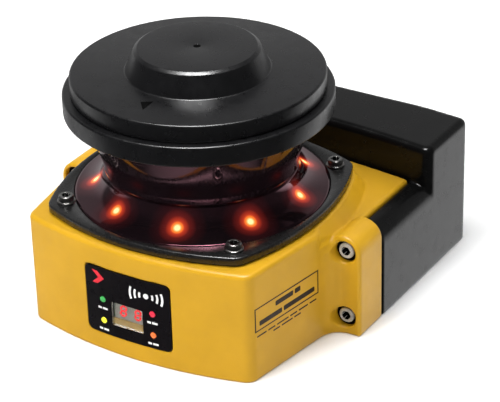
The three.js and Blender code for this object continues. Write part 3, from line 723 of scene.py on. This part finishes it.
def block_field(x, y, z):
    rear = swept(block_flat(x, y), between(z, -9, BLOCK_TOP_Z), 2.6)
    arms = swept(arm_flat(np.abs(x), z), between(y, EAR_BACK_Y + 0.3, BLOCK_FRONT_Y + 8), 0.4)
    body = np.minimum(rear, arms)
    body = -merge(-body, z + 0 * x, 0.8)
    body = carve(body, cuboid(x, y, z, (-48, 40, 4), (48, 66, 34)), 0.3)
    body = carve(body, cuboid(x, y, z, (-60, 65, 4), (60, 73, 49)), 0.3)
    bay = (-BAY_HALF, BAY_WALL_Y, BAY_Z[0]), (BAY_HALF, BACK_Y + 9, BAY_Z[1])
    body = carve(body, cuboid(x, y, z, *bay, 2.5), 1)
    for sx in (-M5_X, M5_X):
        for sz in M5_Z:
            body = carve(body, bar(sx, sz, M5_HOLE_R, y, BACK_Y - M5_DEPTH, BACK_Y + 3)(x, y, z), 0.5)
    return body


def build_block():
    points, faces = skin(block_field, block_low, block_high, FIELD_STEP)
    points[:, 2] = np.maximum(points[:, 2], 0)
    piece = add_mesh("io_shell", points, faces, "io_black", MATERIALS["io_black"])
    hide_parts("io_housing")


# ---------------------------------------------------------------- head, window and flange

def build_head():
    ring = rounded([
        (22.5, WEB_Z, 0.3), (43.6, WEB_Z, 0.3), (43.6, RING_BOTTOM_Z, 0.5), (RING_R, RING_BOTTOM_Z, 1.0),
        (RING_R, RING_TOP_Z, 0.9), (44.2, RING_TOP_Z, 0.3),
        (43.8, WEB_Z + 2.5, 0.3), (22.5, WEB_Z + 2.5, 0.3),
    ], step=15)
    piece = add_mesh("brim", *turned(ring, 144, closed=True), "black_plastic", MATERIALS["black_plastic"])
    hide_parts("head_ring")
    wall = 2.5
    under = RING_TOP_Z + 0.3
    cover = rounded([
        (0.01, HUB_TOP_Z - wall, 0), (HUB_TOP_R - 2.2, HUB_TOP_Z - wall, 0.6),
        (HUB_BASE_R - 2.4, COVER_TOP_Z - wall, 0.6), (COVER_R - wall, COVER_TOP_Z - wall, 0.6),
        (COVER_R - wall, under, 0.2), (COVER_R - 0.3, under, 0.3), (COVER_R, under + 0.6, 0.3),
        (COVER_R, COVER_TOP_Z, 0.9), (HUB_BASE_R, COVER_TOP_Z, 0.9), (HUB_TOP_R + 0.5, HUB_TOP_Z - 0.9, 0.8),
        (HUB_TOP_R - 0.9, HUB_TOP_Z, 0.6), (1.35, HUB_TOP_Z, 0.1), (1.35, HUB_TOP_Z - 0.6, 0),
        (0.01, HUB_TOP_Z - 0.6, 0),
    ], closed=False, step=15)
    piece = add_mesh("lid", *turned(cover, 144), "black_plastic", MATERIALS["black_plastic"])
    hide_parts("top_cover")
    # The zero mark is a recessed triangle. A near-black sheet just proud of the lid stands for the shade
    # inside it, as painted shade.
    mark = prism([(-2.8, -33.2), (1.4, -38.0), (1.0, -30.8)], COVER_TOP_Z - 0.4, COVER_TOP_Z + 0.08)
    add_mesh("zero_mark_shade", *mark, "black_plastic", PAINTED_SHADE_BLACK)
    # A near-black plug in the hub's centre hole: painted shade for the darkness of the hole.
    hole_shade = turned([
        (0.05, HUB_TOP_Z - 0.5), (1.3, HUB_TOP_Z - 0.5), (1.3, HUB_TOP_Z - 0.02), (0.9, HUB_TOP_Z - 0.02),
        (0.7, HUB_TOP_Z - 0.25), (0.3, HUB_TOP_Z - 0.25), (0.05, HUB_TOP_Z - 0.1),
    ], 32)
    add_mesh("hub_hole_shade", *hole_shade, "black_plastic", PAINTED_SHADE_BLACK)


def build_window():
    wall = 2.0
    outside = [(36.3, WAIST_Z + 0.1, 0), (36.5, 61.5, 18), (43.0, 80.2, 2), (43.0, WEB_Z - 0.3, 0.3)]
    inside = [(x - wall, z, r) for x, z, r in reversed(outside)]
    cone = rounded(outside + inside, step=4)
    piece = add_mesh("scan_cone", *turned(cone, 144, closed=True), "window", MATERIALS["window"])
    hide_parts("window")
    foot = skirt_low[2]
    t = np.linspace(0, 1, 25)[:, None]
    pull = np.array([(SKIRT_R, 48.3), (41.0, 49.3), (36.6, 51.4), (36.3, WAIST_Z - 0.1)])
    u = 1 - t
    curve = u ** 3 * pull[0] + 3 * t * u ** 2 * pull[1] + 3 * t * t * u * pull[2] + t ** 3 * pull[3]
    inner = curve[::-1] - (wall, 0) - np.outer(np.linspace(0, 1, 25), (0.2, 1.8))
    skirt = [(SKIRT_R, foot), *curve, *inner, (SKIRT_R - wall - 0.2, foot)]
    piece = add_mesh("skirt", *turned(skirt, 144, closed=True), "window", GLOW)
    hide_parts("indicator_skirt")


def build_flange():
    """Flange plate: the bulged square outside, the skirt's circle inside."""
    steps = len(bulged_square())
    hole = circle(SKIRT_R + 0.3, 0, steps)
    turn = math.atan2(bulged_square()[0][1], bulged_square()[0][0])
    c, s = math.cos(turn), math.sin(turn)
    hole = np.column_stack([c * hole[:, 0] - s * hole[:, 1], s * hole[:, 0] + c * hole[:, 1]])
    top, bottom = FLANGE_TOP_Z, FLANGE_BOTTOM_Z
    rings = [at_height(hole, bottom), at_height(bulged_square(-0.2), bottom)]
    rings.append(at_height(bulged_square(), bottom + 0.2))
    for k in range(5):
        a = k / 4 * math.pi / 2
        rings.append(at_height(bulged_square(-0.6 * (1 - math.cos(a))), top - 0.6 * (1 - math.sin(a))))
    rings += [at_height(hole * (1 + 0.3 / SKIRT_R), top), at_height(hole, top - 0.3)]
    piece = add_mesh("flange", *loft(rings, closed=True), "flange_grey", MATERIALS["flange_grey"])
    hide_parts("window_flange")


# ---------------------------------------------------------------- fasteners

def socket_head(radius, height, across_flats, segments=96):
    """Socket-head cap with its top at z = 0: knurled side, bevelled rim and a hexagonal socket."""
    knurl = knurled(radius, 0.09, 24)
    socket = hexagon(across_flats)
    return loft([
        circle(radius - 0.15, -height, segments), circle(knurl, -height + 0.3, segments),
        circle(knurl, -0.55, segments), circle(radius - 0.1, -0.35, segments),
        circle(radius - 0.3, -0.05, segments), circle(radius - 0.45, 0, segments),
        circle(lambda a: socket(a) + 0.12, 0, segments), circle(socket, -0.15, segments),
        circle(socket, -height * 0.6, segments),
    ])


def socket_faces(cap, across_flats):
    """Indices of the faces inside a head's socket, which are painted near black as shade."""
    points, faces = cap
    centres = np.array([points[list(face)].mean(axis=0) for face in faces])
    near_axis = np.hypot(centres[:, 0], centres[:, 1]) < across_flats * 0.56
    return np.flatnonzero(near_axis & (centres[:, 2] > -np.ptp(points[:, 2]) * 0.7)).tolist()


def build_flange_screws():
    for i, (sx, sy) in enumerate([(-1, -1), (1, -1), (1, 1), (-1, 1)]):
        low, high = box_mm(f"flange_screw_{i + 1}")
        washer = turned([(3.3, 0.1), (3.5, 0.25), (3.5, 0.6), (3.3, 0.75), (1.6, 0.75)], 48)
        points = np.asarray(washer[0]) + (sx * POST, sy * POST, FLANGE_TOP_Z)
        add_mesh(f"flange_washer_{i + 1}", points, washer[1], "steel", MATERIALS["steel"])
        height = high[2] - FLANGE_TOP_Z - 0.8
        cap = socket_head(2.9, height, 2.7)
        # the socket's faces are painted near black as shade
        dark = socket_faces(cap, 2.7)
        shank = turned([(1.2, low[2] - high[2]), (1.5, low[2] - high[2] + 0.4), (1.5, 0.1 - height)], 24)
        points, faces = joined([cap, shank])
        spin = 0.4 + 0.7 * i
        c, s = math.cos(spin), math.sin(spin)
        x, y, z = points.T
        points = np.column_stack([c * x - s * y, s * x + c * y, z]) + (sx * POST, sy * POST, high[2])
        piece = add_mesh(f"flange_bolt_{i + 1}", points, faces, "steel", MATERIALS["steel"], dark=dark)
        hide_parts(f"flange_screw_{i + 1}")


def build_ear_screws():
    for i, (x, z) in enumerate(EAR_SCREWS):
        low, high = box_mm(f"coupling_screw_{i + 1}")
        cap = socket_head(3.1, 3.8, 3.1)
        # the socket's faces are painted near black as shade
        dark = socket_faces(cap, 3.1)
        # A near-black ring deep in the recess round each head: painted shade for the gap between the head and
        # the recess wall.
        ring = turned([(2.9, -2.4), (4.25, -2.4), (4.25, -1.1), (4.1, -0.95), (2.9, -0.95)], 48, closed=True)
        placed = laid_back(ring[0], x, low[1], z)
        add_mesh(f"coupling_gap_shade_{i + 1}", placed, ring[1], "black_plastic", PAINTED_SHADE_BLACK)
        shank = turned([(1.3, low[1] - high[1]), (1.6, low[1] - high[1] + 0.4), (1.6, -3.7)], 24)
        points, faces = joined([cap, shank])
        moved = laid_back(points, x, low[1], z)
        piece = add_mesh(f"coupling_bolt_{i + 1}", moved, faces, "steel", RIM_STEEL, dark=dark)
        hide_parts(f"coupling_screw_{i + 1}")


# ---------------------------------------------------------------- display and prints

PRINT_LIFT = 0.06
PRINT_DEPTH = 0.12


def front_print(name, shapes, material, slot="panel"):
    """Prints given as outlines in XZ, laid on the bowed front of the panel."""
    sets = []
    for outline in shapes:
        x, z = np.asarray(outline, float).T
        face_y = panel_low[1] + front_y(x) - FRONT_Y
        sets.append(loft([np.column_stack([x, face_y + shift, z]) for shift in (PRINT_DEPTH, -PRINT_LIFT)]))
    return add_mesh(name, *joined(sets), slot, material, smooth=False)


def rect(x0, z0, x1, z1, r=0.0):
    return rounded([(x0, z0, r), (x1, z0, r), (x1, z1, r), (x0, z1, r)])


def arc_band(x, z, inner, outer, start, end, steps=14):
    """Outline of an arc band, or of a disc where the inner radius is 0."""
    angles = np.radians(np.linspace(start, end, steps))
    rim = [(x + outer * math.cos(a), z + outer * math.sin(a)) for a in angles]
    return rim + [(x + inner * math.cos(a), z + inner * math.sin(a)) for a in angles[::-1] if inner]


def build_prints():
    """Generic marks: a red chevron, a white scan-fan sign and short bars beside the lights."""
    chevron = [(-15.0, 28.4), (-12.6, 28.4), (-9.6, 31.0), (-12.6, 33.6), (-15.0, 33.6), (-12.2, 31.0)]
    front_print("red_sign", [chevron], RED_INK)
    centre_x, centre_z, line = 8.6, 29.0, 0.85
    fans = [arc_band(centre_x, centre_z, 0, 1.1, 0, 345)]
    for radius in (3.2, 5.2, 7.2):
        for middle in (0, 180):
            fans.append(arc_band(centre_x, centre_z, radius - line, radius, middle - 22, middle + 22))
    front_print("beam_sign", fans, WHITE_INK)
    bars = []
    for x in (-STATUS_X, STATUS_X):
        for z in STATUS_Z:
            bars += [rect(x - 2.1, z - 4.0, x - 0.6, z - 3.2), rect(x - 0.1, z - 4.0, x + 2.1, z - 3.2)]
    front_print("light_bars", bars, WHITE_INK)


SEGMENTS = {"0": "abcdef", "2": "abged", "8": "abcdefg"}


def digit(text, x, z, width=2.2, height=4.0, thick=0.95):
    """Outlines of one seven-segment numeral in XZ. Its size is taken between the middles of its strokes."""
    w, h, t, gap = width / 2, height / 2, thick / 2, 0.05
    ends = {
        "a": ((-w, h), (w, h)), "g": ((-w, 0), (w, 0)), "d": ((-w, -h), (w, -h)),
        "f": ((-w, 0), (-w, h)), "b": ((w, 0), (w, h)), "e": ((-w, -h), (-w, 0)), "c": ((w, -h), (w, 0)),
    }
    outlines = []
    for name in SEGMENTS[text]:
        start, end = np.array(ends[name])
        along = (end - start) / np.linalg.norm(end - start)
        out = np.array((along[1], -along[0]))
        start, end = start + along * gap, end - along * gap
        stroke = [
            start, start + t * (along + out), end + t * (out - along),
            end, end - t * (along + out), start + t * (along - out),
        ]
        outlines.append([(px + x + pz * 0.1, pz + z) for px, pz in stroke])
    return outlines


def upright(outline, y, lift=PRINT_LIFT):
    """A thin plate facing the front, given as an outline in XZ."""
    x, z = np.asarray(outline, float).T
    return loft([np.column_stack([x, np.full(len(x), y + shift), z]) for shift in (PRINT_DEPTH, -lift)])


def build_display():
    pane = rect(screen_low[0], screen_low[2], screen_high[0], screen_high[2], 0.4)
    x, z = pane.T
    bow = front_y(x) - FRONT_Y
    faces_y = np.full(len(x), screen_high[1]), panel_low[1] + 0.05 + bow
    layers = [np.column_stack([x, y, z]) for y in faces_y]
    piece = add_mesh("display_pane", *loft(layers), "screen", MATERIALS["screen"], smooth=False)
    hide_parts("display_window")
    front = box_mm("digit_display")[0][1]
    z = screen_high[2] - 3.3
    shapes = digit("8", -2.4, z) + digit("8", 3.9, z)
    strokes = joined([upright(shape, front) for shape in shapes])
    add_mesh("lit_digits", *strokes, "digits", LIT_DIGIT, smooth=False)
    # A golden strip behind the lower part of the pane is painted reflection. It stands for the golden band
    # seen low in the pane.
    step = rect(screen_low[0] + 0.1, screen_low[2] + 0.1, screen_high[0] - 0.1, screen_low[2] + 2.7)
    add_mesh("display_reflection_strip", *upright(step, front, 0.5), "digits", PAINTED_REFLECTION_STRIP, smooth=False)


def side_print(name, outlines, material):
    """Prints given as outlines of (distance along the wall, height), laid on the right-hand side wall."""
    start = np.array((48.9, -45.0, 0))
    along = np.array((55.0, -6.5, 0)) - start
    along /= np.linalg.norm(along)
    out = np.array((along[1], -along[0], 0))
    sets = []
    for outline in outlines:
        a, z = np.asarray(outline, float).T
        face = start + np.outer(a, along) + np.outer(z, (0, 0, 1))
        for _ in range(3):
            face = face - np.outer(housing_field(*face.T) - PRINT_LIFT, out)
        sets.append(loft([face - out * (PRINT_DEPTH + PRINT_LIFT), face]))
    return add_mesh(name, *joined(sets), "yellow", material, smooth=False)


def build_side_label():
    """A plain outlined frame holding rows of bars, with two finer rows below it."""
    a0, a1, z0, z1, line = 2.0, 37.8, 20.2, 30.0, 0.55
    border = [
        rect(a0, z0, a1, z0 + line), rect(a0, z1 - line, a1, z1),
        rect(a0, z0 + line, a0 + line, z1 - line), rect(a1 - line, z0 + line, a1, z1 - line),
    ]
    rows = []
    for z, height, words, left, right in (
        (26.2, 2.0, (5, 1.6), 13.5, 27.5), (22.1, 2.0, (5, 7), 4.5, 35.5),
        (17.9, 0.6, (4, 3, 5, 3, 4, 3), 3.0, 36.5), (16.3, 0.6, (3, 5, 3), 12.0, 27.5),
    ):
        room = right - left - 1.0 * (len(words) - 1)
        at = left
        for word in words:
            width = room * word / sum(words)
            rows.append(rect(at, z, at + width, z + height, height * 0.2))
            at += width + 1.0
    side_print("side_frame", border, BROWN_INK)
    side_print("side_bars", rows, BROWN_INK)


# ---------------------------------------------------------------- connectors on the back

def threaded(radius, z0, z1, pitch=1.0, depth=0.35):
    """Profile of a ribbed barrel that reads as a thread."""
    profile, z = [], z0
    while z < z1 - pitch:
        profile += [(radius - depth, z), (radius, z + pitch * 0.3), (radius, z + pitch * 0.6)]
        z += pitch
    return profile


def build_connectors():
    for name, node, side, barrel in (
        ("power_socket", "power_connector", -1, 7.6), ("network_socket", "ethernet_connector", 1, 6.0),
    ):
        nut = loft([
            circle(hexagon(15.4), 0.3, 48), circle(hexagon(15.9), 0.6, 48), circle(hexagon(15.9), 3.0, 48),
            circle(hexagon(15.2), 3.3, 48), circle(barrel, 3.3, 48),
        ])
        shell = turned([(6.2, -4.5), (6.2, 0.4)], 32)
        face = [*threaded(barrel, 3.3, 11.2), (barrel - 0.3, 11.5), (barrel - 1.2, 11.5), (barrel - 1.2, 5.5)]
        barrel_set = turned(face, 64)
        points, faces = joined([nut, shell, barrel_set])
        points = laid_back(points, side * CONNECTOR_X, BAY_WALL_Y, CONNECTOR_Z, -1)
        piece = add_mesh(name, points, faces, "steel", MATERIALS["steel"])
        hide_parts(node)
    pins = [(0.0, 0.0)] + [(3.9 * math.cos(a), 3.9 * math.sin(a)) for a in np.radians(np.arange(0, 360, 45))]
    core = turned([(5.9, 5.6), (5.9, 9.2), (5.5, 9.5)], 48)
    holes = [turned([(0.55, 9.4), (0.55, 10.4), (0.3, 10.7)], 12) for _ in pins]
    holes = [(np.asarray(p) + (x, y, 0), f) for (p, f), (x, y) in zip(holes, pins)]
    place = dict(x=-CONNECTOR_X, y=BAY_WALL_Y, z=CONNECTOR_Z, sign=-1)
    add_mesh("power_insert", laid_back(core[0], **place), core[1], "seal", MATERIALS["seal"])
    points, faces = joined(holes)
    add_mesh("power_pins", laid_back(points, **place), faces, "alloy", MATERIALS["alloy"])
    grip = knurled(8.2, 0.45, 26)
    cap = loft([
        circle(6.5, 4.3, 104), circle(7.9, 4.3, 104), circle(grip, 4.8, 104), circle(grip, 11.6, 104),
        circle(7.9, 12.5, 104), circle(7.2, 13.3, 104), circle(6.4, 13.6, 104),
    ])
    points = laid_back(cap[0], CONNECTOR_X, BAY_WALL_Y, CONNECTOR_Z, -1)
    piece = add_mesh("dust_cap", points, cap[1], "seal", MATERIALS["seal"])
    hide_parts("ethernet_cap")


# ---------------------------------------------------------------- stage

def build_floor():
    size = 3000
    points = [(-size, -size, 0), (size, -size, 0), (size, size, 0), (-size, size, 0)]
    mesh = bpy.data.meshes.new("floor")
    mesh.from_pydata([tuple(c * MM for c in p) for p in points], [], [(0, 1, 2, 3)])
    look = Look("floor_paper", (0.86, 0.86, 0.86), 0.7)
    look.tint(look.noise(60, 2), (0.85, 0.85, 0.85), (0.87, 0.87, 0.87))
    mesh.materials.append(look.material)
    floor = bpy.data.objects.new("floor", mesh)
    bpy.context.collection.objects.link(floor)
    floor.visible_glossy = False


def add_light(name, place, target, size, power, glossy=True, diffuse=True):
    data = bpy.data.lights.new(name, "AREA")
    data.shape = "RECTANGLE"
    data.size, data.size_y = size
    data.energy = power
    light = bpy.data.objects.new(name, data)
    light.visible_glossy = glossy
    light.visible_diffuse = diffuse
    light.location = place
    light.rotation_mode = "QUATERNION"
    light.rotation_quaternion = (Vector(target) - Vector(place)).to_track_quat("-Z", "Y")
    bpy.context.collection.objects.link(light)


def build_lights():
    middle = (0, 0, 0.04)
    add_light("key", (-0.6, -0.95, 1.1), middle, (0.9, 0.9), 25.5, glossy=False)
    add_light("fill", (1.2, -0.7, 0.7), middle, (0.8, 0.8), 7, glossy=False)
    add_light("back", (0.2, 0.9, 1.3), middle, (1.2, 1.2), 15.5, glossy=False)
    add_light("top", (0.0, -0.12, 1.2), middle, (0.4, 0.4), 9, glossy=False)
    add_light("edge_strip", (0.0, -0.1, 1.2), middle, (0.5, 0.35), 36, diffuse=False)
    world = bpy.data.worlds.new("studio")
    bpy.context.scene.world = world
    world.use_nodes = True
    nodes, links = world.node_tree.nodes, world.node_tree.links
    place = nodes.new("ShaderNodeTexCoord").outputs["Generated"]
    height = world_band(nodes, links, place, (0, 0, 1), [
        (0.0, 0.3), (0.2, 0.5), (0.5, 0.65), (0.62, 0.6),
        (0.74, 0.31), (0.795, 0.33), (0.84, 0.1), (1.0, 0.1)])
    behind = world_band(nodes, links, place, (-0.37, 0.93, 0), [
        (0.0, 0.1), (0.6, 0.12), (0.735, 0.2), (0.775, 1.0)])
    side = world_band(nodes, links, place, (0.43, 0.77, -0.48), [
        (0.0, 0), (0.945, 0), (0.98, 1.25), (1.0, 1.25)])
    left = world_band(nodes, links, place, (-0.87, -0.2, -0.45), [
        (0.0, 0), (0.965, 0), (0.99, 0.9), (1.0, 0.9)])
    below = world_band(nodes, links, place, (0, 0, -1), [(0.0, 0), (0.91, 0), (0.95, 0.8), (1.0, 0.8)])
    total = nodes.new("ShaderNodeMath")
    total.operation = "MULTIPLY_ADD"
    more = nodes.new("ShaderNodeMath")
    more.operation = "ADD"
    sides = nodes.new("ShaderNodeMath")
    sides.operation = "ADD"
    links.new(side, sides.inputs[0])
    links.new(left, sides.inputs[1])
    links.new(sides.outputs["Value"], more.inputs[0])
    links.new(below, more.inputs[1])
    links.new(height, total.inputs[0])
    links.new(behind, total.inputs[1])
    links.new(more.outputs["Value"], total.inputs[2])
    links.new(total.outputs["Value"], nodes["Background"].inputs["Color"])
    nodes["Background"].inputs["Strength"].default_value = 1.0


def world_band(nodes, links, place, axis, stops):
    """Brightness of the room by how far a direction points along an axis, 0 against it and 1 along it."""
    dot = nodes.new("ShaderNodeVectorMath")
    dot.operation = "DOT_PRODUCT"
    links.new(place, dot.inputs[0])
    dot.inputs[1].default_value = Vector(axis).normalized()
    span = nodes.new("ShaderNodeMapRange")
    span.inputs["From Min"].default_value = -1
    span.inputs["From Max"].default_value = 1
    links.new(dot.outputs["Value"], span.inputs["Value"])
    ramp = nodes.new("ShaderNodeValToRGB")
    elements = ramp.color_ramp.elements
    while len(elements) < len(stops):
        elements.new(0.5)
    for element, (position, value) in zip(elements, stops):
        element.position = position
        element.color = (value, value, value, 1)
    links.new(span.outputs["Result"], ramp.inputs["Fac"])
    return ramp.outputs["Color"]


def build_camera():
    level = math.cos(CAMERA_ELEVATION)
    back = Vector((
        math.sin(CAMERA_AZIMUTH) * level, -math.cos(CAMERA_AZIMUTH) * level, math.sin(CAMERA_ELEVATION)))
    data = bpy.data.cameras.new("camera")
    data.sensor_width = 36
    data.lens = CAMERA_LENS
    camera = bpy.data.objects.new("camera", data)
    turn = back.to_track_quat("Z", "Y").to_matrix().to_4x4() @ Matrix.Rotation(CAMERA_ROLL, 4, "Z")
    camera.matrix_world = Matrix.Translation(Vector(CAMERA_AIM) + back * CAMERA_DISTANCE) @ turn
    bpy.context.collection.objects.link(camera)
    bpy.context.scene.camera = camera


build_camera()
dress_cad_nodes()
build_housing()
build_block()
build_head()
build_window()
build_flange()
build_flange_screws()
build_ear_screws()
build_prints()
build_display()
build_side_label()
build_connectors()
build_floor()
build_lights()
bpy.context.scene.view_settings.view_transform = "Standard"
